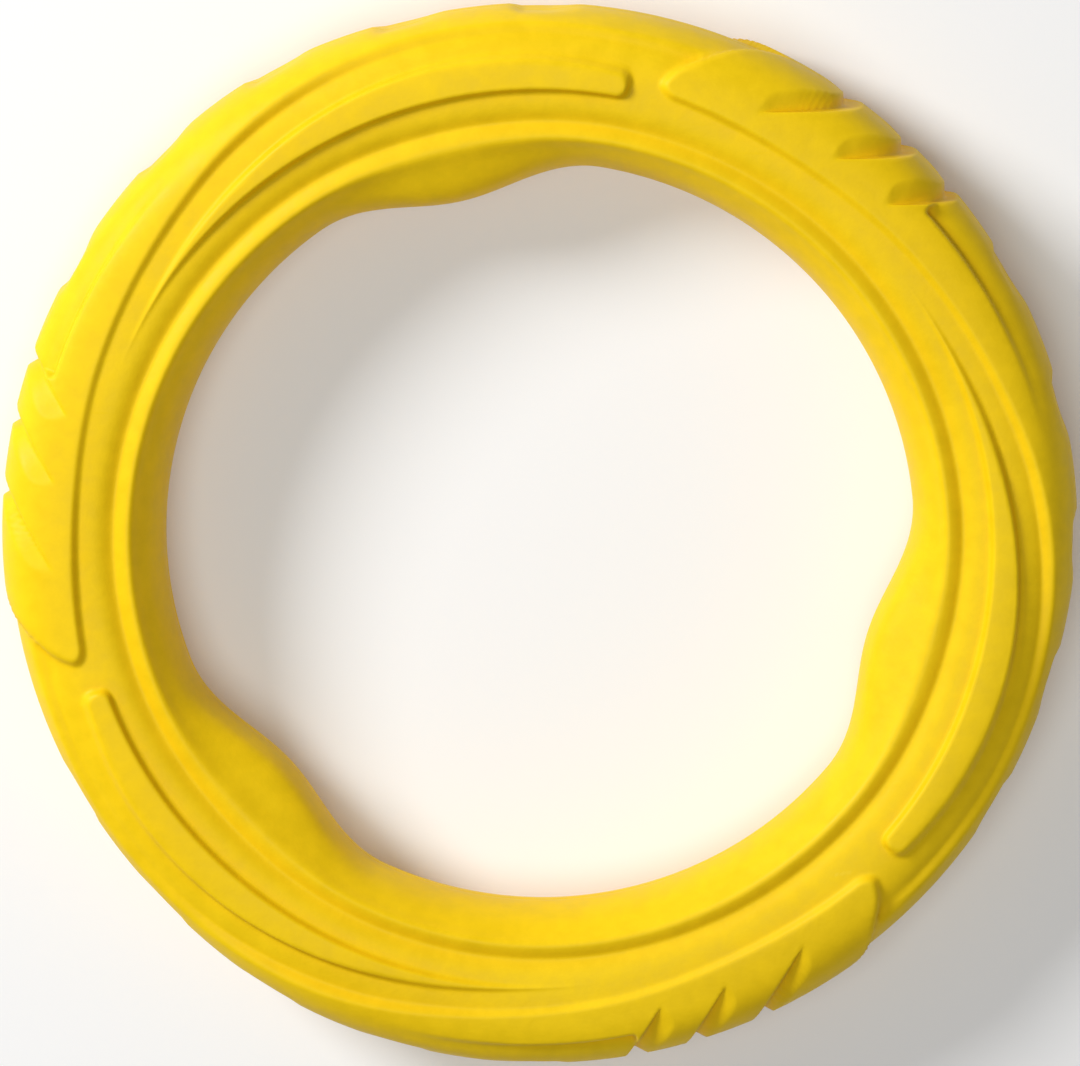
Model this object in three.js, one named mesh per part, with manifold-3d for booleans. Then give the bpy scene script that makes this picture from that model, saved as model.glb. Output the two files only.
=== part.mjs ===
// A thick, soft juggling ring: two moulded skin halves bonded on the mid-plane round a foam core.
// Millimetres, +Z along the ring's axis, origin at the ring's centre on the mid-plane.
// The relief repeats three times round the ring, and the back half mirrors the front half.

import * as THREE from "three";
import { ConvexGeometry } from "three/addons/geometries/ConvexGeometry.js";
import { ParametricGeometry } from "three/addons/geometries/ParametricGeometry.js";
import { mergeVertices } from "three/addons/utils/BufferGeometryUtils.js";
import Module from "manifold-3d";

const wasm = await Module();
wasm.setup();

// ---------------------------------------------------------------- driving dimensions
const OUTER_RADIUS = 138.9;      // outer wall at the mid-plane, between the raised bands
const SECTION_WIDTH = 41.0;      // radial width of the plain section
const OVERALL_DEPTH = 42.0;      // front flat land to back flat land
const CROWN_DROP = 1.7;          // plain crown below the flat lands
const SECTION_POWER = 3.0;       // how boxy the section is: 2 is an ellipse
const INNER_POWER = 2.0;         // the same for the curve of the inner wall across the mid-plane
const REPEATS = 3;               // sectors of the pattern

const WALL = 5.0;                // thickness of the skin over the core, plain section
const CORE_GAP = 0.3;            // clearance between the skin and the core

const BULGE_HEIGHT = 8.2;        // finger bulge, inwards from the inner wall
const BULGE_ANGLE = 103;         // centre of the bulge in its sector, degrees
const BULGE_SPREAD = 23;         // half of the bulge's arc, degrees
const BULGE_LEVELS = [[180, 1], [158, 0.93], [138, 0.55]];   // [section angle, share of the bulge]
const BULGE_PULL = 0.1;          // share of the bulge that the ridge and valley follow

const RIDGE_SHARE = 0.24;        // ridge crest from the inner wall, in section widths
const RIDGE_HEIGHT = 0.4;
const VALLEY_SHARE = 0.32;       // valley beside the ridge, in section widths
const VALLEY_DEPTH = 1.0;

const BAND_HEIGHT = 1.9;         // raised bands above the plain section
const BAND_EDGE = 1.4;           // width of a band's sloping edge
const BAND_END = 74.7;           // blunt end of the broad band at its inner corner, degrees
const BAND_CORNER = 78;          // section angle of that corner
const BAND_END_LEAN = 0.156;     // how the blunt end slants, degrees per degree of section angle
const BLADE_SHARE = 0.49;        // inner edge of the narrow blade from the inner wall, in section widths
const BLADE_START = 78;          // blunt end of the narrow blade, degrees
const BLADE_TAPER = [18, 38];    // where the blade's top sinks into the crown, degrees
const BLADE_LEAST = 0.8;         // least width of the blade at its point
const BAND_GROWTH = [-20, 6];    // where the broad band reaches its full height on the wall, degrees
const BAND_LEVELS = [42, 26, 10, 0];   // section angles of the band's shoulder and wall
const END_SPAN = 2;              // half of the arc over which a blunt end slopes down, degrees

const GROOVE_ANGLES = [40.6, 47.4, 55.4];   // V grooves at the mid-plane, degrees
const GROOVE_LEANS = [4.2, 5.8, 8.0];       // how far their inner ends lie ahead, degrees
const GROOVE_DEPTH = 3.6;
const GROOVE_HALF_MOUTH = 1.6;   // degrees
const GROOVE_TOP = 60;           // section angle of their inner ends
const GROOVE_LEVELS = [[-8, 1], [18, 1], [42, 0.8], [GROOVE_TOP, -0.06]];   // [section angle, share]

const LIP_START = 15;            // tangential groove on the shoulder, pointed end, degrees
const LIP_END = 40.5;            // its deep end, degrees
const LIP_DEPTH = 1.6;
const LIP_LEVELS = [43, 47];     // its section angle at either end
const LIP_STEPS = [0, 0.35, 0.7, 1];
const LIP_OUTER_SIDE = 5;        // its two sides at the deep end, degrees of section angle
const LIP_INNER_SIDE = 2;
const LIP_LEAST = 1;
const RUN_OUT = 0.1;             // how far above the surface a groove's pointed end lies

const NOTCH_COUNT = 5;
const NOTCH_FIRST = -28.5;       // first notch of a sector, degrees
const NOTCH_PITCH = 15;
const NOTCH_DEPTH = 1.5;
const NOTCH_STEEP_SIDE = 0.8;    // degrees
const NOTCH_GENTLE_SIDE = 2.6;   // degrees
const NOTCH_LEAN = 0.05;         // degrees per degree of section angle
const NOTCH_LEVELS = [[-8, 1], [18, 1], [40, -0.06]];   // [section angle, share of depth]

const STATIONS = 90;             // sections round the ring, a multiple of REPEATS
const CORE_SIDES = 12;           // facets of the core's section
const CUT_CLEAR = 2.0;           // how far a cutter stands out of the surface
const LEAST_DEPTH = 0.5;         // depth below which a cutter's sides flare no further

// ---------------------------------------------------------------- derived sizes
const SECTOR = 360 / REPEATS;
const HALF_WIDTH = SECTION_WIDTH / 2;
const HALF_DEPTH = OVERALL_DEPTH / 2;
const CROWN = HALF_DEPTH - CROWN_DROP;
const MEAN_RADIUS = OUTER_RADIUS - HALF_WIDTH;
const INNER_RADIUS = OUTER_RADIUS - SECTION_WIDTH;

// Feature lines as [sector angle in degrees, distance in from the outer wall in section widths].
const BAND_LINE = [
  [-42, 0.138], [-25, 0.119], [-10, 0.145], [8, 0.229],
  [20, 0.312], [38, 0.395], [57, 0.45], [75, 0.40],
];
const BLADE_LINE = [
  [-42, 0.312], [-28, 0.271], [-13, 0.29], [0, 0.35],
  [15, 0.45], [29, 0.498], [38, 0.507],
];

const radians = THREE.MathUtils.degToRad;
const ease = THREE.MathUtils.smoothstep;

// Angle within the pattern's sector, from one blade's blunt end to the next.
function sectorAngle(degrees) {
  return THREE.MathUtils.euclideanModulo(degrees - BLADE_START, SECTOR) + BLADE_START - SECTOR;
}

// Radius of a feature line, by straight runs between its points.
function alongLine(line, angle) {
  const last = line.length - 1;
  const held = THREE.MathUtils.clamp(angle, line[0][0], line[last][0]);
  const next = Math.max(1, line.findIndex(([at]) => at >= held));
  const [a0, d0] = line[next - 1];
  const [a1, d1] = line[next];
  return OUTER_RADIUS - SECTION_WIDTH * THREE.MathUtils.mapLinear(held, a0, a1, d0, d1);
}

// Point of the section's outline, a superellipse about its centre whose inner side is rounder.
// Section angle 0 is the outer mid-plane, 90 the crown and 180 the inner mid-plane.
function sectionPoint(sectionAngle, halfWidth, halfDepth) {
  const c = Math.cos(radians(sectionAngle));
  const s = Math.sin(radians(sectionAngle));
  if (c < 0) {
    const across = Math.abs(c) ** (2 / SECTION_POWER);
    const along = Math.sign(s) * Math.abs(s) ** (2 / INNER_POWER);
    return new THREE.Vector2(MEAN_RADIUS - halfWidth * across, halfDepth * along);
  }
  const reach = ((c / halfWidth) ** SECTION_POWER + Math.abs(s / halfDepth) ** SECTION_POWER)
    ** (-1 / SECTION_POWER);
  return new THREE.Vector2(MEAN_RADIUS + reach * c, reach * s);
}

// Point of the plain section above a radius.
function crownPoint(radius) {
  const across = Math.min(1, Math.abs(radius - MEAN_RADIUS) / HALF_WIDTH);
  const power = radius < MEAN_RADIUS ? INNER_POWER : SECTION_POWER;
  return new THREE.Vector2(radius, CROWN * (1 - across ** SECTION_POWER) ** (1 / power));
}

// Moves a point of the plain section outwards along the section's normal.
function raise(point, height) {
  const x = (point.x - MEAN_RADIUS) / HALF_WIDTH;
  const z = point.y / CROWN;
  const power = x < 0 ? INNER_POWER : SECTION_POWER;
  const normal = new THREE.Vector2(
    Math.sign(x) * SECTION_POWER * Math.abs(x) ** (SECTION_POWER - 1) / HALF_WIDTH,
    Math.sign(z) * power * Math.abs(z) ** (power - 1) / CROWN,
  ).normalize();
  return point.clone().addScaledVector(normal, height);
}

// How far the inner wall bulges in at an angle round the ring.
function bulge(degrees) {
  const turned = THREE.MathUtils.euclideanModulo(degrees - BULGE_ANGLE + SECTOR / 2, SECTOR);
  const share = Math.min(1, Math.abs(turned - SECTOR / 2) / BULGE_SPREAD);
  return BULGE_HEIGHT * (0.5 + 0.5 * Math.cos(Math.PI * share));
}

// Height of the broad band on the outer wall: it grows along the sector and ends at a slanting edge.
function bandHeight(angle, sectionAngle) {
  const end = BAND_END - BAND_END_LEAN * (BAND_CORNER - sectionAngle);
  return BAND_HEIGHT * ease(angle, ...BAND_GROWTH) * (1 - ease(angle, end - END_SPAN, end + END_SPAN));
}

// ---------------------------------------------------------------- one section of the front skin
function skinSection(degrees) {
  const angle = sectorAngle(degrees);
  const points = [];

  // inner wall with its bulge, from the mid-plane up
  for (const [sectionAngle, share] of BULGE_LEVELS) {
    const wall = sectionPoint(sectionAngle, HALF_WIDTH, CROWN);
    wall.x -= bulge(degrees) * share;
    points.push(wall);
  }

  // inner ridge and the valley beside it
  const shift = bulge(degrees) * BULGE_PULL;
  points.push(raise(crownPoint(INNER_RADIUS + SECTION_WIDTH * RIDGE_SHARE - shift), RIDGE_HEIGHT));
  points.push(raise(crownPoint(INNER_RADIUS + SECTION_WIDTH * VALLEY_SHARE - shift), -VALLEY_DEPTH));

  // narrow blade: foot, top, top, foot
  const bladeRise = ease(angle, BLADE_START - SECTOR, BLADE_START - SECTOR + END_SPAN);
  const bladeHeight = BAND_HEIGHT * bladeRise * (1 - ease(angle, ...BLADE_TAPER));
  const bladeInner = INNER_RADIUS + SECTION_WIDTH * BLADE_SHARE;
  const bladeOuter = alongLine(BLADE_LINE, angle);
  const bladeEdge = Math.min(BAND_EDGE, (bladeOuter - bladeInner + BLADE_LEAST) / 2);
  points.push(crownPoint(bladeInner - bladeEdge));
  points.push(raise(crownPoint(bladeInner), bladeHeight));
  const bladeTop = Math.max(bladeOuter - bladeEdge, bladeInner + BLADE_LEAST / 2);
  points.push(raise(crownPoint(bladeTop), bladeHeight));
  points.push(crownPoint(Math.max(bladeOuter, bladeInner + BLADE_LEAST)));

  // broad band: foot and top of its inner edge, then the shoulder down to the mid-plane
  const atEnd = ease(angle, BAND_END - END_SPAN, BAND_END + END_SPAN);
  const nextStart = alongLine(BAND_LINE, BLADE_START - SECTOR);
  const bandInner = THREE.MathUtils.lerp(alongLine(BAND_LINE, angle), nextStart, atEnd);
  const lip = BAND_HEIGHT * ease(angle, BLADE_START - SECTOR, NOTCH_FIRST) * (1 - atEnd);
  points.push(crownPoint(bandInner - BAND_EDGE / 2));
  points.push(raise(crownPoint(bandInner + BAND_EDGE / 2), lip));
  for (const sectionAngle of BAND_LEVELS) {
    const wall = sectionPoint(sectionAngle, HALF_WIDTH, CROWN);
    points.push(raise(wall, bandHeight(angle, sectionAngle)));
  }

  // cavity for the core, back to the inner wall
  for (let i = 0; i <= CORE_SIDES / 2; i += 1) {
    points.push(sectionPoint(360 * i / CORE_SIDES, HALF_WIDTH - WALL, CROWN - WALL));
  }

  for (const point of points) {
    point.y = THREE.MathUtils.clamp(point.y, 0, HALF_DEPTH);
  }
  return points;
}

// ---------------------------------------------------------------- solids
function weld(geometry) {
  geometry.deleteAttribute("normal");
  geometry.deleteAttribute("uv");
  return mergeVertices(geometry, 1e-4);
}

function toSolid(geometry) {
  const welded = weld(geometry);
  return new wasm.Manifold(new wasm.Mesh({
    numProp: 3,
    vertProperties: new Float32Array(welded.attributes.position.array),
    triVerts: new Uint32Array(welded.index.array),
  }));
}

function toGeometry(solid) {
  const mesh = solid.getMesh();
  const geometry = new THREE.BufferGeometry();
  geometry.setAttribute("position", new THREE.BufferAttribute(mesh.vertProperties, 3));
  geometry.setIndex(new THREE.BufferAttribute(mesh.triVerts, 1));
  return geometry;
}

// Point on the outer wall or shoulder: height is counted from the top of the broad band.
function wallPoint(degrees, sectionAngle, height) {
  const flat = raise(sectionPoint(sectionAngle, HALF_WIDTH, CROWN), BAND_HEIGHT + height);
  return new THREE.Vector3(flat.x * Math.cos(radians(degrees)), flat.x * Math.sin(radians(degrees)), flat.y);
}

// A groove cutter of V section through stations of { degrees, sectionAngle, depth, before, after }.
// before and after are the two sides of its mouth, in degrees round the ring and of the section.
function grooveCutter(stations) {
  const rings = stations.map(({ degrees, sectionAngle, depth, before, after }) => {
    const flare = 1 + CUT_CLEAR / Math.max(depth, LEAST_DEPTH);
    return [
      wallPoint(degrees, sectionAngle, -depth),
      wallPoint(degrees - before[0] * flare, sectionAngle - before[1] * flare, CUT_CLEAR),
      wallPoint(degrees + after[0] * flare, sectionAngle + after[1] * flare, CUT_CLEAR),
    ];
  });
  let cutter = null;
  for (let i = 1; i < rings.length; i += 1) {
    const piece = toSolid(new ConvexGeometry([...rings[i - 1], ...rings[i]]));
    cutter = cutter ? cutter.add(piece) : piece;
  }
  return cutter;
}

// V grooves that cross the band and lean forward towards the crown.
function vGroove(sectorStart, index) {
  const start = sectorStart + GROOVE_ANGLES[index];
  const mouth = [GROOVE_HALF_MOUTH, 0];
  return grooveCutter(GROOVE_LEVELS.map(([sectionAngle, share]) => ({
    degrees: start + GROOVE_LEANS[index] * sectionAngle / GROOVE_TOP,
    sectionAngle,
    depth: GROOVE_DEPTH * share,
    before: mouth,
    after: mouth,
  })));
}

// Shallow notches in the outer wall, steep on one side and gentle on the other.
function notch(sectorStart, index) {
  const start = sectorStart + NOTCH_FIRST + NOTCH_PITCH * index;
  const lift = BAND_HEIGHT - bandHeight(sectorAngle(start), 0);
  return grooveCutter(NOTCH_LEVELS.map(([sectionAngle, share]) => ({
    degrees: start + sectionAngle * NOTCH_LEAN,
    sectionAngle,
    depth: lift + NOTCH_DEPTH * share,
    before: [NOTCH_STEEP_SIDE, 0],
    after: [NOTCH_GENTLE_SIDE, 0],
  })));
}

// The tangential groove on the shoulder that runs into the first V groove.
function lipGroove(sectorStart) {
  return grooveCutter(LIP_STEPS.map((share) => ({
    degrees: sectorStart + THREE.MathUtils.lerp(LIP_START, LIP_END, share),
    sectionAngle: THREE.MathUtils.lerp(LIP_LEVELS[0], LIP_LEVELS[1], share),
    depth: LIP_DEPTH * share - RUN_OUT,
    before: [0, LIP_OUTER_SIDE * share + LIP_LEAST],
    after: [0, LIP_INNER_SIDE * share + LIP_LEAST],
  })));
}

function frontSkin() {
  const sections = Array.from({ length: STATIONS }, (_, i) => skinSection(360 * i / STATIONS));
  const loop = sections[0].length;
  const place = (u, v, target) => {
    const station = Math.round(v * STATIONS) % STATIONS;
    const point = sections[station][Math.round(u * loop) % loop];
    const turn = radians(360 * station / STATIONS);
    target.set(point.x * Math.cos(turn), point.x * Math.sin(turn), point.y);
  };
  let solid = toSolid(new ParametricGeometry(place, loop, STATIONS));
  for (let sector = 0; sector < REPEATS; sector += 1) {
    const sectorStart = SECTOR * sector;
    for (let i = 0; i < GROOVE_ANGLES.length; i += 1) {
      solid = solid.subtract(vGroove(sectorStart, i));
    }
    for (let i = 0; i < NOTCH_COUNT; i += 1) {
      solid = solid.subtract(notch(sectorStart, i));
    }
    solid = solid.subtract(lipGroove(sectorStart));
  }
  return toGeometry(solid);
}

// The back half is the front half mirrored in the mid-plane, with its faces turned out again.
function mirrored(geometry) {
  const copy = geometry.clone().scale(1, 1, -1);
  const index = copy.index.array;
  for (let i = 0; i < index.length; i += 3) {
    [index[i], index[i + 1]] = [index[i + 1], index[i]];
  }
  return copy;
}

function coreRing() {
  const profile = [];
  for (let i = 0; i <= CORE_SIDES; i += 1) {
    const sectionAngle = 360 * (i % CORE_SIDES) / CORE_SIDES;
    profile.push(sectionPoint(sectionAngle, HALF_WIDTH - WALL - CORE_GAP, CROWN - WALL - CORE_GAP));
  }
  const ring = weld(new THREE.LatheGeometry(profile, STATIONS));
  return ring.rotateX(Math.PI / 2);
}

// ---------------------------------------------------------------- materials and assembly
const skinMaterial = new THREE.MeshStandardMaterial({ color: 0xf2cf1e, roughness: 0.55, metalness: 0 });
const coreMaterial = new THREE.MeshStandardMaterial({ color: 0xe9e4d2, roughness: 0.95, metalness: 0 });

function piece(name, geometry, material) {
  const mesh = new THREE.Mesh(geometry, material);
  mesh.name = name;
  return mesh;
}

const frontGeometry = frontSkin();
const ring = new THREE.Group();
ring.add(piece("front_shell", frontGeometry, skinMaterial));
ring.add(piece("back_shell", mirrored(frontGeometry), skinMaterial));
ring.add(piece("foam_core", coreRing(), coreMaterial));

export default ring;
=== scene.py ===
# A thick, soft juggling ring lying on a pale studio floor, seen almost along its axis.
# The scene is in metres, in the CAD model's frame: +Z along the ring's axis, the centre at the origin.

import math

import bpy
import numpy as np
from mathutils import Matrix, Vector


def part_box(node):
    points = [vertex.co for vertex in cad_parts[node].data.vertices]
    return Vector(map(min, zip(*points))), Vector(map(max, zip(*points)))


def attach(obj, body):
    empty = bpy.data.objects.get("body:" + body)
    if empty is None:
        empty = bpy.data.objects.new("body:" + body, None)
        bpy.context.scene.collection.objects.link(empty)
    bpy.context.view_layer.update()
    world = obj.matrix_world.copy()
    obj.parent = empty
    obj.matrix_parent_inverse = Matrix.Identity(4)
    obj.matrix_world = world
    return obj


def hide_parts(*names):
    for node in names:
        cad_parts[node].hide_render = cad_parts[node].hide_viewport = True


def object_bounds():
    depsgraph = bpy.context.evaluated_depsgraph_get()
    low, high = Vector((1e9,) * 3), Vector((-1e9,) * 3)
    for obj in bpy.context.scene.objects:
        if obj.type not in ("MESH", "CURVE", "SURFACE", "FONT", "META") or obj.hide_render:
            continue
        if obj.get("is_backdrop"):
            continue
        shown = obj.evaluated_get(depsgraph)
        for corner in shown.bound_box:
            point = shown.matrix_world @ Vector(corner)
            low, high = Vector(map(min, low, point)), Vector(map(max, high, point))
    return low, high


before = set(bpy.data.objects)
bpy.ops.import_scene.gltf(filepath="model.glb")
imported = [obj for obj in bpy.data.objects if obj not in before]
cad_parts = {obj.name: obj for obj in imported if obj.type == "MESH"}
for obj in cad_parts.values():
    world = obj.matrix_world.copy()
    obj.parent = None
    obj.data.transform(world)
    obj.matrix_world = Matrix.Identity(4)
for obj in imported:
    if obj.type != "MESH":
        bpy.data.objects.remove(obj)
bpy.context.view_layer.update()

MM = 0.001

# ---------------------------------------------------------------- sizes
# Lengths in millimetres. "Angle" is a place round the ring in degrees, within one sector of the pattern.
# "Alpha" is a place round the section in degrees: 0 on the outer wall at the mid-plane, 90 on the crown,
# 180 on the inner wall. "Arc" is the length of section from alpha 0. A pair of angles or alphas is where
# a change starts and ends.
front_low, front_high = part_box("front_shell")
REACH = max(abs(c) for corner in (front_low, front_high) for c in corner[:2]) / MM
HALF_DEPTH = front_high.z / MM

REPEATS = 3
SECTOR = 360.0 / REPEATS
START = 77.2                 # angle where one sector's pattern gives way to the next

# broad band
BAND_START_HEIGHT = 1.2      # over the floor of the relief, at its start
BAND_FULL_HEIGHT = 3.0       # and at its blunt end, on the outer wall
BAND_GROWTH = (-22, 8)       # angles between the two
BAND_CROWN_HEIGHT = [        # (angle, height) on the crown
    (-60, 2.2), (-5, 2.2), (35, 1.1), (50, 1.1), (65, 1.6), (80, 1.6),
]
BAND_LINE = [                # (angle, radius) of its inner edge
    (-60, 132.9), (-42, 133.3), (-25, 134.2), (-10, 133.2), (8, 129.7), (20, 126.2),
    (38, 122.7), (57, 120.5), (72, 121.7), (84, 124.0),
]
BAND_END = [                 # (arc, angle) of its slanting blunt end
    (0, 63.0), (8, 66.8), (16, 70.8), (21.5, 73.7), (26, 75.0), (32, 75.0),
]
BAND_END_SQUARE = 0.82       # distance square to the slanting end, as a share of distance along the ring
BAND_CORNER = 3.6            # radius of the blunt end's corner, in plan
BAND_EDGE = 2.3              # width of its soft edge
NEXT_BAND_RISE = (52, 60)    # angles over which the next band's low start comes up
CROWN_BLEND = (30, 70)       # alphas where heights on the wall give way to heights on the crown

# narrow blade
BLADE_HEIGHT = 1.9
BLADE_OUTER = [              # (angle, radius) of its outer edge
    (-46, 125.0), (-42, 125.4), (-28, 127.3), (-13, 126.8), (0, 124.6),
    (15, 121.0), (29, 118.3), (40, 117.6),
]
BLADE_INNER = [(-46, 118.8), (-42, 118.8), (0, 118.0), (40, 117.4)]
BLADE_END = 78.9             # angle of its blunt end
BLADE_CORNER = 2.8
BLADE_POINT_JOIN = 0.4       # rounding where its two edges meet
BLADE_EDGE = 1.6             # width of its soft edge
BLADE_EDGE_GROWTH = 1.6      # extra width of the outer edge towards the blunt end
BLADE_EDGE_BLEND = (-30, -8)
BLADE_FADE = (2, 39)         # angles over which it sinks to its point

# plain section under the relief
SECTION_POWER = 3.0          # how boxy the section is: 2 is an ellipse
INNER_POWER = 2.0            # the same for the curve of the inner wall across the mid-plane
SECTION_WIDTH = 39.8         # radial width
CROWN_DROP = 1.9             # crown below the flat lands
WALL = 5.0                   # thickness of the skin
CAVITY_POWER = 2.6

OUTER = REACH - BAND_FULL_HEIGHT
HALF_WIDTH = SECTION_WIDTH / 2
MEAN = OUTER - HALF_WIDTH
CROWN = HALF_DEPTH - CROWN_DROP

# bulge of the inner wall into the hole
BULGE_HEIGHT = 8.1
BULGE_ANGLE = 103.0
BULGE_SPREAD = 22.5          # degrees to either side
BULGE_ALPHA = (108, 150)     # where on the inner wall it comes in

# inner ridge, and the valley beside it
RIDGE_RADIUS = 107.0
RIDGE_HEIGHT = 1.1
RIDGE_WIDTHS = (1.2, 1.9)    # outer and inner side
VALLEY_RADIUS = 110.5
VALLEY_DEPTH = 0.85
VALLEY_WIDTHS = (2.6, 1.5)
VALLEY_SLOPE = 0.65          # extra depth of the wide slope down to it
VALLEY_SLOPE_WIDTHS = (6.0, 1.5)
RIDGE_FOLLOWS_BULGE = 0.08   # share of the bulge that both move by
INNER_SIDE = 150             # alpha past which there is no relief

# shallow notches on the outer wall
NOTCH_DEPTH = 1.35
NOTCH_PITCH = 15.0
NOTCH_SHIFT = 26.8
NOTCH_RISE = (0.45, 0.76)    # shares of the pitch
NOTCH_FALL = (0.90, 1.0)
NOTCH_FIRST = (-36, -33)     # angles
NOTCH_LAST = (33.5, 34)
NOTCH_ALPHA = (12, 34)

# long facet on the shoulder, deepening towards the first V groove
FACET_DEPTH = 2.5
FACET_START = 13             # angle
FACET_LENGTH = 27.5
FACET_STOP = (40.6, 41.4)
FACET_ARC = 16.4             # its deepest line
FACET_ARC_GROWTH = 0.8
FACET_UPPER_WIDTH = 1.3
FACET_LOWER_WIDTH = 2.0
FACET_LOWER_GROWTH = 6.5

# V grooves: straight cuts side by side, square to the radius they are turned to
GROOVE_LINES = (89.6, 101.4, 113.4)      # distance of each cut's standing flank from the centre line
GROOVE_TURN = 0.3                        # degrees, cuts against the sector's own axes
GROOVE_DEPTHS = (5.8, 3.0, 4.3)          # radial depth at the back, the front of the wall and the shoulder
GROOVE_SHOULDER = (24, 44)               # alphas from the wall's depth to the shoulder's
GROOVE_BACK = (-8, 22)                   # and, behind the mid-plane, to the back's
GROOVE_END = 17.5                        # arc at which they begin to run out
GROOVE_RUNOUT = 9.0
GROOVE_FOOT = 0.8                        # rounding of a cut's foot
GROOVE_LIP = 0.35                        # and of its mouth
GROOVE_SPAN = (0.5, 1.35)                # radians round the sector within which they are cut
SMALLEST = 0.05                          # keeps the divisions below away from zero

# parting line on the mid-plane
SEAM_DEPTH = 0.25
SEAM_HALF_WIDTH = 0.7

# ---------------------------------------------------------------- fineness of the mesh
COLUMNS_PER_SECTOR = 378
ROWS = 76
CAVITY_ROWS = 12
SAMPLES_PER_SECTOR = 6001
SAMPLES_PER_SECTION = 481
ALPHA_SAMPLES = 1441
EASING_SHARE = 90            # rows are eased over one part in this many of the columns, to each side
DENSE_GROOVES = (20, 31)     # angles over which the columns close up for the V grooves
DENSE_AFTER_GROOVES = (56, 68)
DENSE_BLADE_END = (-42, -30)
GROOVE_COLUMNS = 2.6         # extra columns there, against 1 elsewhere
END_COLUMNS = 1.4            # and at the blunt ends
PLAIN_ROWS = 0.55            # weight of the plain section, against the weights below
BAND_ROWS = (1.6, 1.5)       # (width, weight) of the closer rows along each edge
BLADE_OUTER_ROWS = (1.2, 1.5)
BLADE_INNER_ROWS = (1.1, 1.5)
RIDGE_ROWS = (3.0, 0.8)
SHOULDER_ROWS = (4.0, 0.7)
SHOULDER_ARC = 18.5
SHOULDER_START = (10, 20)    # angles
SHOULDER_STOP = (62, 66)
SEAM_ROWS = 0.8              # width of the closer rows at the parting line, of weight 1

# ---------------------------------------------------------------- colours
SKIN_DEEP = (0.90, 0.59, 0.004, 1)
SKIN_LIGHT = (0.95, 0.645, 0.006, 1)
SKIN_WORN = (0.98, 0.74, 0.04, 1)
# Crease tint: crease dust and painted shade, darker and warmer in the crease lines.
SKIN_CREASE_DUST_AND_SHADE_TINT = (0.94, 0.66, 0.3, 1)
# Painted shade: tint for recesses that ambient occlusion finds.
SKIN_PAINTED_SHADE_TINT = (1.0, 0.79, 0.3, 1)
FOAM_DEEP = (0.74, 0.70, 0.60, 1)
FOAM_LIGHT = (0.82, 0.79, 0.70, 1)
FLOOR_GREY = (0.82, 0.82, 0.82, 1)
WHITE = (1, 1, 1, 1)

# ---------------------------------------------------------------- studio and camera, in metres and watts
FLOOR_SIZE = 12
FLOOR_GLOW = 0.12
KEY_LIGHT = {"place": (-1.45, 1.0, 1.15), "size": 0.75, "power": 41}
TOP_LIGHT = {"place": (-0.2, -0.1, 2.2), "size": 1.2, "power": 16}
SKY_STRENGTH = 0.15
CAMERA_DISTANCE = 2.28
CAMERA_TILT = math.radians(9.5)
CAMERA_HEADING = math.radians(80)
CAMERA_TARGET = (0.0001, -0.0001, 0)
LENS = 290
SENSOR_WIDTH = 36
CLIP_END = 50


def smooth(x, low, high):
    """0 below low, 1 above high, with an eased step between."""
    t = np.clip((x - low) / (high - low), 0.0, 1.0)
    return t * t * (3.0 - 2.0 * t)


def sector_angle(degrees):
    """Angle within the pattern's sector, from one blade's blunt end to the next."""
    return np.mod(degrees - START, SECTOR) + START - SECTOR


def along(line, angle):
    """A smooth curve through the points of a feature line."""
    xs = np.array([p[0] for p in line], float)
    ys = np.array([p[1] for p in line], float)
    slope = np.gradient(ys, xs)
    i = np.clip(np.searchsorted(xs, angle) - 1, 0, len(xs) - 2)
    step = xs[i + 1] - xs[i]
    t = np.clip((angle - xs[i]) / step, 0.0, 1.0)
    a = 2 * t**3 - 3 * t**2 + 1
    b = t**3 - 2 * t**2 + t
    c = -2 * t**3 + 3 * t**2
    d = t**3 - t**2
    return a * ys[i] + b * step * slope[i] + c * ys[i + 1] + d * step * slope[i + 1]


def section(alpha, half_width, half_depth, power=SECTION_POWER):
    """Points of the section's outline at alpha (radians), and their unit normals."""
    c, s = np.cos(alpha), np.sin(alpha)
    inner = c < 0
    reach = (np.abs(c / half_width) ** power + np.abs(s / half_depth) ** power) ** (-1 / power)
    x = np.where(inner, -half_width * np.abs(c) ** (2 / power), reach * c)
    z = np.where(inner, half_depth * np.sign(s) * np.abs(s) ** (2 / INNER_POWER), reach * s)
    curve = np.where(inner, INNER_POWER, power)
    nx = power * np.sign(x) * np.abs(x / half_width) ** (power - 1) / half_width
    nz = curve * np.sign(z) * np.abs(z / half_depth) ** (curve - 1) / half_depth
    size = np.hypot(nx, nz)
    return MEAN + x, z, nx / size, nz / size


def round_join(a, b, radius):
    """Signed distance inside both of two edges, with a round corner between them."""
    outside = np.hypot(np.maximum(radius - a, 0), np.maximum(radius - b, 0))
    nearest = np.minimum(a, b)
    at_corner = (a < radius) | (b < radius)
    return np.where(at_corner, np.minimum(radius - outside, nearest + radius), nearest)


def two_sided(distance, widths):
    """A soft bump that is 1 at distance 0, with its own width on the outer and on the inner side."""
    outer, inner = widths
    return np.exp(-((distance / np.where(distance > 0, outer, inner)) ** 2))


def edge(distance, width):
    """Height share of a raised area with soft edges, from the signed distance inside it."""
    return smooth(distance, -width / 2, width / 2)


def bulge(degrees):
    """Height of the inner wall's bulge round the ring."""
    away = np.abs(np.mod(degrees - BULGE_ANGLE + SECTOR / 2, SECTOR) - SECTOR / 2)
    share = np.clip(away / BULGE_SPREAD, 0, 1)
    return BULGE_HEIGHT * (0.5 + 0.5 * np.cos(math.pi * share))


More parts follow.
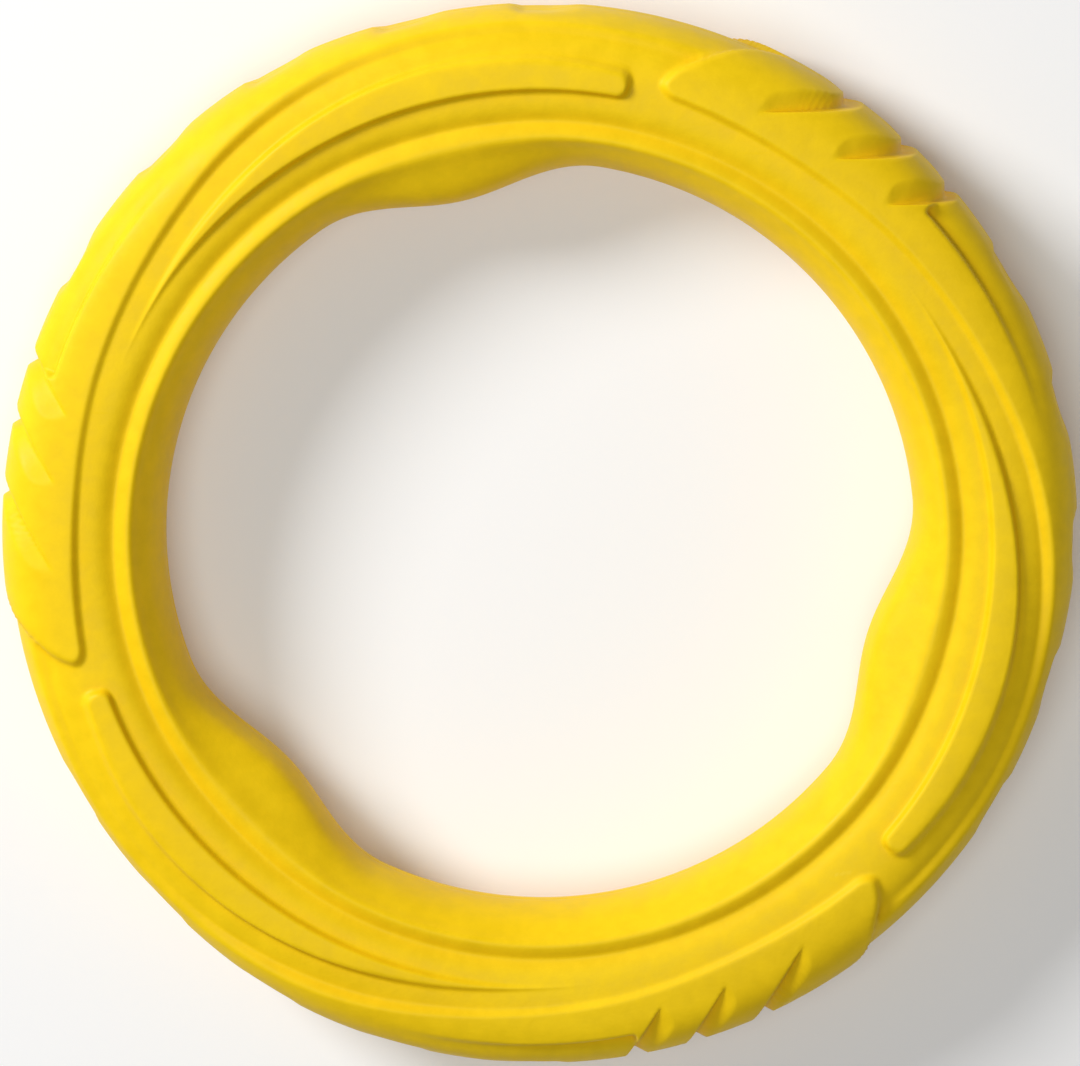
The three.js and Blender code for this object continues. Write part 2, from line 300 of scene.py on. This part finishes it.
def band_height(angle, alpha, arc, radius, mm_per_degree):
    """Broad band, from its low start behind the last band's blunt end to its own blunt end."""
    inside_line = radius - along(BAND_LINE, angle)
    inside_end = (along(BAND_END, arc) - angle) * mm_per_degree * BAND_END_SQUARE
    crown = smooth(alpha, *CROWN_BLEND)
    grown = smooth(angle, *BAND_GROWTH)
    wall_height = BAND_START_HEIGHT + (BAND_FULL_HEIGHT - BAND_START_HEIGHT) * grown
    body = edge(round_join(inside_line, inside_end, BAND_CORNER), BAND_EDGE)
    body = body * (wall_height * (1 - crown) + along(BAND_CROWN_HEIGHT, angle) * crown)

    past = angle > 0
    first_angle, first_height = BAND_CROWN_HEIGHT[0]
    start_angle = np.maximum(np.where(past, angle - SECTOR, angle), first_angle)
    start = edge(radius - along(BAND_LINE, start_angle), BAND_EDGE)
    start = start * (BAND_START_HEIGHT * (1 - crown) + first_height * crown)
    risen = start * smooth(angle, *NEXT_BAND_RISE)
    return np.where(past, np.maximum(body, risen), np.maximum(start, body))


def blade_height(angle, radius, mm_per_degree):
    """Narrow blade with a round blunt end and a long point."""
    outer_side = along(BLADE_OUTER, angle) - radius
    inner_side = radius - along(BLADE_INNER, angle)
    end_side = (angle - (BLADE_END - SECTOR)) * mm_per_degree
    outer_corner = round_join(outer_side, end_side, BLADE_CORNER)
    inner_corner = round_join(inner_side, end_side, BLADE_CORNER)
    inside = round_join(outer_corner, inner_corner, BLADE_POINT_JOIN)
    widening = (1 - smooth(angle, *BLADE_EDGE_BLEND)) * (outer_side < inner_side)
    soft = BLADE_EDGE + BLADE_EDGE_GROWTH * widening
    return edge(inside, soft) * BLADE_HEIGHT * (1 - smooth(angle, *BLADE_FADE))


def ridge_and_valley(degrees, alpha, radius):
    """Height of the inner ridge less the depth of the valley, which is gentle on its outer side."""
    shift = bulge(degrees) * RIDGE_FOLLOWS_BULGE
    from_ridge = radius - (RIDGE_RADIUS - shift)
    from_valley = radius - (VALLEY_RADIUS - shift)
    ridge = RIDGE_HEIGHT * two_sided(from_ridge, RIDGE_WIDTHS)
    trough = VALLEY_DEPTH * two_sided(from_valley, VALLEY_WIDTHS)
    slope = VALLEY_SLOPE * two_sided(from_valley, VALLEY_SLOPE_WIDTHS)
    return (ridge - (trough + slope)) * (alpha < INNER_SIDE)


def notch_depth(angle, alpha):
    """Saw-shaped notches on the outer wall."""
    phase = np.mod(angle + NOTCH_SHIFT, NOTCH_PITCH) / NOTCH_PITCH
    saw = smooth(phase, *NOTCH_RISE) * (1 - smooth(phase, *NOTCH_FALL))
    row = smooth(angle, *NOTCH_FIRST) * (1 - smooth(angle, *NOTCH_LAST))
    return NOTCH_DEPTH * saw * row * (1 - smooth(alpha, *NOTCH_ALPHA))


def facet_depth(angle, arc):
    """Long facet on the shoulder that runs into the first V groove."""
    share = np.clip((angle - FACET_START) / FACET_LENGTH, 0, 1)
    present = share * (1 - smooth(angle, *FACET_STOP))
    above = arc - (FACET_ARC + FACET_ARC_GROWTH * share)
    upper = np.clip(1 - above / FACET_UPPER_WIDTH, 0, 1)
    lower = np.clip(1 + above / (FACET_LOWER_WIDTH + FACET_LOWER_GROWTH * share), 0, 1)
    return FACET_DEPTH * present * np.where(above > 0, upper, lower)


def relief(degrees, alpha, radius):
    """Height over the plain section, along the normal. The same on both halves."""
    angle = sector_angle(degrees)
    mm_per_degree = radius * math.pi / 180
    arc = np.interp(alpha, ARC_ALPHA, ARC_LENGTH)
    height = band_height(angle, alpha, arc, radius, mm_per_degree)
    height = np.maximum(height, blade_height(angle, radius, mm_per_degree))
    height = height + ridge_and_valley(degrees, alpha, radius)
    height = height - notch_depth(angle, alpha) - facet_depth(angle, arc)
    from_seam = np.minimum(arc, HALF_ARC - arc)
    return height - SEAM_DEPTH * np.clip(1 - from_seam / SEAM_HALF_WIDTH, 0, 1)


def soft_max(a, b, blend):
    """The larger of two values, with a rounded change from one to the other."""
    return 0.5 * (a + b + np.sqrt((a - b) ** 2 + blend**2))


def groove_cut(degrees, alpha, wall_radius):
    """How far the V grooves move the wall in towards the axis. alpha is below 0 on the back half."""
    arc = np.interp(np.abs(alpha), ARC_ALPHA, ARC_LENGTH)
    back, front, shoulder = GROOVE_DEPTHS
    depth = front + (shoulder - front) * smooth(alpha, *GROOVE_SHOULDER)
    depth = depth + (back - front) * smooth(-alpha, *GROOVE_BACK)
    depth = depth * (1 - smooth(arc, GROOVE_END, GROOVE_END + GROOVE_RUNOUT))
    turn = np.radians(sector_angle(degrees) + GROOVE_TURN)
    low, high = GROOVE_SPAN
    near = (turn > low) & (turn < high)
    cut = np.zeros_like(wall_radius)
    for line in GROOVE_LINES:
        corner = np.sqrt(np.maximum((wall_radius - depth) ** 2 - line**2, 1.0))
        standing = line / np.maximum(np.sin(turn), SMALLEST)
        lying = corner / np.maximum(np.cos(turn), SMALLEST)
        into = wall_radius - soft_max(standing, lying, GROOVE_FOOT)
        eased = soft_max(into, 0, GROOVE_LIP) - GROOVE_LIP / 2
        cut = np.maximum(cut, np.where(near, eased, 0))
    return cut


def developed_length(alphas):
    """Length along the plain section from the outer mid-plane to each of the alphas, in degrees."""
    x, z, _, _ = section(np.radians(alphas), HALF_WIDTH, CROWN)
    return np.concatenate([[0], np.cumsum(np.hypot(np.diff(x), np.diff(z)))])


ARC_ALPHA = np.linspace(0, 180, ALPHA_SAMPLES)
ARC_LENGTH = developed_length(ARC_ALPHA)
HALF_ARC = ARC_LENGTH[-1]


def spread(density_at, low, high, count):
    """count values from low to high, closer together where density_at is larger."""
    fine = np.linspace(low, high, SAMPLES_PER_SECTOR)
    total = np.concatenate([[0], np.cumsum(density_at((fine[1:] + fine[:-1]) / 2))])
    return np.interp(np.linspace(0, total[-1], count), total, fine)


def column_angles(per_sector):
    """Angles of the mesh's columns, closer together at the V grooves and at the blunt ends."""
    def density(angle):
        a = sector_angle(angle)
        after_grooves = smooth(a, *DENSE_AFTER_GROOVES)
        grooves = smooth(a, *DENSE_GROOVES) * (1 - after_grooves)
        ends = after_grooves + (1 - smooth(a, *DENSE_BLADE_END))
        return 1.0 + GROOVE_COLUMNS * grooves + END_COLUMNS * ends

    one = spread(density, 0.0, SECTOR, per_sector + 1)[:-1]
    return np.concatenate([one + SECTOR * i for i in range(REPEATS)])


def row_arcs(degrees, rows):
    """Row places along the developed section for each column, closer at the edges of the relief."""
    angle = sector_angle(degrees)[:, None]
    fine = np.linspace(0, HALF_ARC, SAMPLES_PER_SECTION)[None, :]
    alpha = np.interp(fine, ARC_LENGTH, ARC_ALPHA)
    radius = section(np.radians(alpha), HALF_WIDTH, CROWN)[0]
    shift = (bulge(degrees) * RIDGE_FOLLOWS_BULGE)[:, None]
    density = np.full((len(degrees), SAMPLES_PER_SECTION), PLAIN_ROWS)

    def near(centre, width_and_weight):
        width, weight = width_and_weight
        return weight * np.exp(-(((radius - centre) / width) ** 2)) * (alpha < INNER_SIDE)

    density = density + near(along(BAND_LINE, angle), BAND_ROWS)
    density = density + near(along(BLADE_OUTER, angle), BLADE_OUTER_ROWS)
    density = density + near(along(BLADE_INNER, angle), BLADE_INNER_ROWS)
    density = density + near((RIDGE_RADIUS + VALLEY_RADIUS) / 2 - shift, RIDGE_ROWS)
    seams = np.exp(-((fine / SEAM_ROWS) ** 2)) + np.exp(-(((HALF_ARC - fine) / SEAM_ROWS) ** 2))
    shoulder_width, shoulder_weight = SHOULDER_ROWS
    shoulder = shoulder_weight * np.exp(-(((fine - SHOULDER_ARC) / shoulder_width) ** 2))
    shoulder = shoulder * smooth(angle, *SHOULDER_START) * (1 - smooth(angle, *SHOULDER_STOP))
    density = density + seams + shoulder
    total = np.concatenate([np.zeros((len(degrees), 1)), np.cumsum(density[:, 1:], axis=1)], axis=1)
    total = total / total[:, -1:]
    want = np.linspace(0, 1, rows)
    places = np.stack([np.interp(want, total[i], fine[0]) for i in range(len(degrees))])
    reach = len(degrees) // EASING_SHARE
    for _ in range(2):
        places = sum(np.roll(places, k, axis=0) for k in range(-reach, reach + 1)) / (2 * reach + 1)
    return places


def skin_loops(degrees, side, rows, cavity_rows):
    """Radius and height of a skin half's closed outline at each column: outer skin, then cavity."""
    alpha = np.interp(row_arcs(degrees, rows), ARC_LENGTH, ARC_ALPHA)
    around = np.repeat(degrees[:, None], rows, axis=1)
    x, z, nx, nz = section(np.radians(alpha), HALF_WIDTH, CROWN)
    height = relief(around, alpha, x)
    r = x + nx * height - smooth(alpha, *BULGE_ALPHA) * bulge(around)
    r = r - groove_cut(around, alpha * side, r)
    z = np.clip(z + nz * height, 0, HALF_DEPTH)
    z[:, 0] = 0
    z[:, -1] = 0
    cavity = np.radians(np.linspace(180, 0, cavity_rows))
    cavity_r, cavity_z, _, _ = section(cavity, HALF_WIDTH - WALL, CROWN - WALL, CAVITY_POWER)
    cavity_z[0] = cavity_z[-1] = 0
    columns = len(degrees)
    r = np.concatenate([r, np.repeat(cavity_r[None, :], columns, 0)], axis=1)
    z = np.concatenate([z, np.repeat(cavity_z[None, :], columns, 0)], axis=1)
    return r, z


def mark_sharp(mesh, loop, corners):
    """Keeps the edges that run round the ring at the given places of the outline sharp."""
    ends = np.empty(len(mesh.edges) * 2, dtype=np.int32)
    mesh.edges.foreach_get("vertices", ends)
    place = ends.reshape(-1, 2) % loop
    runs_round = place[:, 0] == place[:, 1]
    mesh.edges.foreach_set("use_edge_sharp", runs_round & np.isin(place[:, 0], corners))


def skin_piece(name, side, per_sector, rows, cavity_rows):
    """One skin half as a closed mesh. side is 1 for the front and -1 for the back."""
    degrees = column_angles(per_sector)
    r, z = skin_loops(degrees, side, rows, cavity_rows)
    columns, loop = r.shape
    turn = np.radians(degrees)[:, None]
    points = np.stack([r * np.cos(turn), r * np.sin(turn), side * z], axis=2).reshape(-1, 3) * MM
    i, j = np.meshgrid(np.arange(columns), np.arange(loop), indexing="ij")
    i2, j2 = (i + 1) % columns, (j + 1) % loop
    quads = np.stack([i * loop + j, i2 * loop + j, i2 * loop + j2, i * loop + j2], axis=2).reshape(-1, 4)
    if side < 0:
        quads = quads[:, ::-1]
    mesh = bpy.data.meshes.new(name)
    mesh.vertices.add(len(points))
    mesh.vertices.foreach_set("co", points.ravel())
    mesh.loops.add(quads.size)
    mesh.loops.foreach_set("vertex_index", quads.ravel().astype(np.int32))
    mesh.polygons.add(len(quads))
    mesh.polygons.foreach_set("loop_start", np.arange(0, quads.size, 4, dtype=np.int32))
    mesh.polygons.foreach_set("use_smooth", np.ones(len(quads), dtype=bool))
    mesh.update(calc_edges=True)
    mesh.validate()
    mark_sharp(mesh, loop, (0, rows - 1, rows, loop - 1))
    piece = bpy.data.objects.new(name, mesh)
    bpy.context.scene.collection.objects.link(piece)
    return piece


def node(tree, kind, place, **inputs):
    """A shader node with some of its inputs set."""
    made = tree.nodes.new(kind)
    made.location = place
    for name, value in inputs.items():
        made.inputs[name.replace("_", " ")].default_value = value
    return made


def ramp(tree, place, stops):
    """A colour ramp through (position, grey or colour) stops."""
    made = tree.nodes.new("ShaderNodeValToRGB")
    made.location = place
    while len(made.color_ramp.elements) < len(stops):
        made.color_ramp.elements.new(0.5)
    for element, (at, value) in zip(made.color_ramp.elements, stops):
        element.position = at
        element.color = value if isinstance(value, tuple) else (value, value, value, 1)
    return made


def mix_colour(tree, place, blend, factor, a, b):
    """Mixes two colours; factor, a and b are sockets or plain values."""
    made = tree.nodes.new("ShaderNodeMix")
    made.location = place
    made.data_type = "RGBA"
    made.blend_type = blend
    for socket, value in ((made.inputs[0], factor), (made.inputs[6], a), (made.inputs[7], b)):
        if isinstance(value, bpy.types.NodeSocket):
            tree.links.new(value, socket)
        else:
            socket.default_value = value
    return made.outputs[2]


def arithmetic(tree, place, operation, a, b):
    """A sum or product; a and b are sockets or plain values."""
    made = tree.nodes.new("ShaderNodeMath")
    made.location = place
    made.operation = operation
    for socket, value in ((made.inputs[0], a), (made.inputs[1], b)):
        if isinstance(value, bpy.types.NodeSocket):
            tree.links.new(value, socket)
        else:
            socket.default_value = value
    return made.outputs[0]


def skin_material():
    """Satin moulded rubber: uneven pigment, fine grain, worn edges and dull scuffs; crease dust and painted
    shade tint the crease lines darker and warmer, and painted shade from ambient occlusion darkens and
    warms recesses.
    """
    material = bpy.data.materials.new("yellow_skin")
    material.use_nodes = True
    tree = material.node_tree
    links = tree.links
    shader = tree.nodes["Principled BSDF"]
    shader.inputs["IOR"].default_value = 1.45
    shader.inputs["Specular IOR Level"].default_value = 0.16
    place = tree.nodes.new("ShaderNodeTexCoord")
    place.location = (-1500, 0)
    where = place.outputs["Object"]

    pigment = node(tree, "ShaderNodeTexNoise", (-1250, 350), Scale=14.0, Detail=4.0, Roughness=0.6)
    mottle = node(tree, "ShaderNodeTexNoise", (-1250, 100), Scale=160.0, Detail=3.0, Roughness=0.6)
    grain = node(tree, "ShaderNodeTexNoise", (-1250, -150), Scale=1500.0, Detail=2.0, Roughness=0.55)
    dimple = node(tree, "ShaderNodeTexVoronoi", (-1250, -400), Scale=850.0)
    stretch = node(
        tree, "ShaderNodeMapping", (-1250, -650), Scale=(45.0, 900.0, 160.0), Rotation=(0.2, 0.1, 0.7)
    )
    for target in (pigment, mottle, grain, dimple):
        links.new(where, target.inputs["Vector"])
    links.new(where, stretch.inputs["Vector"])
    scuff = node(tree, "ShaderNodeTexNoise", (-1050, -650), Scale=1.0, Detail=2.0, Roughness=0.5)
    links.new(stretch.outputs["Vector"], scuff.inputs["Vector"])
    scuffs = ramp(tree, (-850, -650), [(0.69, 0.0), (0.78, 1.0)])
    links.new(scuff.outputs["Fac"], scuffs.inputs["Fac"])
    form = tree.nodes.new("ShaderNodeNewGeometry")
    form.location = (-1500, -300)
    edges = ramp(tree, (-850, 650), [(0.53, 0.0), (0.62, 1.0)])
    crease_dust_and_shade = ramp(tree, (-850, 900), [(0.38, 1.0), (0.47, 0.0)])
    links.new(form.outputs["Pointiness"], edges.inputs["Fac"])
    links.new(form.outputs["Pointiness"], crease_dust_and_shade.inputs["Fac"])

    tones = ramp(tree, (-1000, 350), [(0.3, SKIN_DEEP), (0.7, SKIN_LIGHT)])
    links.new(pigment.outputs["Fac"], tones.inputs["Fac"])
    flecks = ramp(tree, (-1000, 100), [(0.35, 0.93), (0.65, 1.0)])
    links.new(mottle.outputs["Fac"], flecks.inputs["Fac"])
    colour = mix_colour(tree, (-650, 300), "MULTIPLY", 1.0, tones.outputs["Color"], flecks.outputs["Color"])
    # Crease dust and painted shade: low pointiness tints the crease lines darker and more orange.
    crease_dust_and_shade_share = arithmetic(tree, (-650, 800), "MULTIPLY", crease_dust_and_shade.outputs["Color"], 0.6)
    colour = mix_colour(tree, (-450, 300), "MULTIPLY", crease_dust_and_shade_share, colour, SKIN_CREASE_DUST_AND_SHADE_TINT)
    # Painted shade: ambient occlusion darkens and warms recesses of the skin.
    occlusion = node(tree, "ShaderNodeAmbientOcclusion", (-1250, 1150), Distance=0.02)
    occlusion.samples = 6
    painted_shade_ramp = ramp(tree, (-850, 1150), [(0.4, 1.0), (0.97, 0.0)])
    links.new(occlusion.outputs["AO"], painted_shade_ramp.inputs["Fac"])
    shade = painted_shade_ramp.outputs["Color"]
    colour = mix_colour(tree, (-350, 500), "MULTIPLY", shade, colour, SKIN_PAINTED_SHADE_TINT)
    rubbed = arithmetic(tree, (-650, 600), "MULTIPLY", edges.outputs["Color"], 0.16)
    colour = mix_colour(tree, (-250, 300), "MIX", rubbed, colour, SKIN_WORN)
    links.new(colour, shader.inputs["Base Color"])

    rough = ramp(tree, (-850, -50), [(0.3, 0.42), (0.7, 0.56)])
    links.new(mottle.outputs["Fac"], rough.inputs["Fac"])
    rougher = arithmetic(tree, (-600, -50), "MULTIPLY", scuffs.outputs["Color"], 0.10)
    rougher = arithmetic(tree, (-450, -50), "ADD", rough.outputs["Color"], rougher)
    polish = arithmetic(tree, (-450, -200), "MULTIPLY", edges.outputs["Color"], 0.07)
    links.new(arithmetic(tree, (-300, -50), "SUBTRACT", rougher, polish), shader.inputs["Roughness"])

    texture = arithmetic(tree, (-850, -300), "MULTIPLY", dimple.outputs["Distance"], 0.5)
    texture = arithmetic(tree, (-700, -300), "ADD", texture, grain.outputs["Fac"])
    bump = node(tree, "ShaderNodeBump", (-250, -300), Strength=0.35, Distance=0.00005)
    links.new(texture, bump.inputs["Height"])
    swell = node(tree, "ShaderNodeBump", (-50, -300), Strength=0.25, Distance=0.0004)
    links.new(mottle.outputs["Fac"], swell.inputs["Height"])
    links.new(bump.outputs["Normal"], swell.inputs["Normal"])
    links.new(swell.outputs["Normal"], shader.inputs["Normal"])
    return material


def foam_material():
    """Closed-cell foam: off-white, matt, with fine cells."""
    material = bpy.data.materials.new("core_foam")
    material.use_nodes = True
    tree = material.node_tree
    links = tree.links
    shader = tree.nodes["Principled BSDF"]
    shader.inputs["Roughness"].default_value = 0.92
    shader.inputs["Specular IOR Level"].default_value = 0.2
    place = tree.nodes.new("ShaderNodeTexCoord")
    place.location = (-1100, 0)
    cells = node(tree, "ShaderNodeTexVoronoi", (-850, 150), Scale=700.0)
    cloud = node(tree, "ShaderNodeTexNoise", (-850, -150), Scale=30.0, Detail=3.0)
    for target in (cells, cloud):
        links.new(place.outputs["Object"], target.inputs["Vector"])
    walls = ramp(tree, (-600, 150), [(0.15, 0.72), (0.45, 1.0)])
    links.new(cells.outputs["Distance"], walls.inputs["Fac"])
    tones = ramp(tree, (-600, -150), [(0.3, FOAM_DEEP), (0.7, FOAM_LIGHT)])
    links.new(cloud.outputs["Fac"], tones.inputs["Fac"])
    colour = mix_colour(tree, (-300, 50), "MULTIPLY", 1.0, tones.outputs["Color"], walls.outputs["Color"])
    links.new(colour, shader.inputs["Base Color"])
    bump = node(tree, "ShaderNodeBump", (-300, -250), Strength=0.7, Distance=0.0003)
    links.new(cells.outputs["Distance"], bump.inputs["Height"])
    links.new(bump.outputs["Normal"], shader.inputs["Normal"])
    return material


skin = skin_material()
core = bpy.data.objects["foam_core"]
core.data.materials.clear()
core.data.materials.append(foam_material())
columns_per_sector = COLUMNS_PER_SECTOR
row_count = ROWS
for name, side in (("front_shell", 1), ("back_shell", -1)):
    piece = skin_piece(name.replace("shell", "skin"), side, columns_per_sector, row_count, CAVITY_ROWS)
    piece.data.materials.append(skin)
    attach(piece, "root")
    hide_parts(name)


def area_light(name, place, size, power):
    """A round soft light that faces the ring's centre."""
    light = bpy.data.lights.new(name, "AREA")
    light.shape = "DISK"
    light.size = size
    light.energy = power
    lamp = bpy.data.objects.new(name, light)
    bpy.context.scene.collection.objects.link(lamp)
    lamp.location = place
    lamp.rotation_euler = (-Vector(place)).to_track_quat("-Z", "Y").to_euler()


def studio():
    """Pale floor under the ring, a key light, a top light and a dim white sky."""
    low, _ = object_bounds()
    bpy.ops.mesh.primitive_plane_add(size=FLOOR_SIZE, location=(0, 0, low[2]))
    floor = bpy.context.object
    floor.name = "studio_floor"
    material = bpy.data.materials.new("floor")
    material.use_nodes = True
    shader = material.node_tree.nodes["Principled BSDF"]
    shader.inputs["Base Color"].default_value = FLOOR_GREY
    shader.inputs["Roughness"].default_value = 0.9
    shader.inputs["Emission Color"].default_value = WHITE
    shader.inputs["Emission Strength"].default_value = FLOOR_GLOW
    floor.data.materials.append(material)
    floor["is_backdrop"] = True
    area_light("key", **KEY_LIGHT)
    area_light("top", **TOP_LIGHT)
    world = bpy.data.worlds.new("studio")
    world.use_nodes = True
    sky = world.node_tree.nodes["Background"]
    sky.inputs["Color"].default_value = WHITE
    sky.inputs["Strength"].default_value = SKY_STRENGTH
    bpy.context.scene.world = world


def camera():
    """A long lens that looks down on the ring from a little off its axis."""
    data = bpy.data.cameras.new("camera")
    data.lens = LENS
    data.sensor_width = SENSOR_WIDTH
    data.clip_end = CLIP_END
    cam = bpy.data.objects.new("camera", data)
    bpy.context.scene.collection.objects.link(cam)
    target = Vector(CAMERA_TARGET)
    away = Vector((
        math.sin(CAMERA_TILT) * math.cos(CAMERA_HEADING),
        math.sin(CAMERA_TILT) * math.sin(CAMERA_HEADING),
        math.cos(CAMERA_TILT),
    ))
    side = Vector((0, 1, 0)).cross(away).normalized()
    up = away.cross(side)
    cam.matrix_world = Matrix((side, up, away)).transposed().to_4x4()
    cam.location = target + away * CAMERA_DISTANCE
    bpy.context.scene.camera = cam


camera()
studio()
bpy.context.scene.view_settings.view_transform = "Standard"
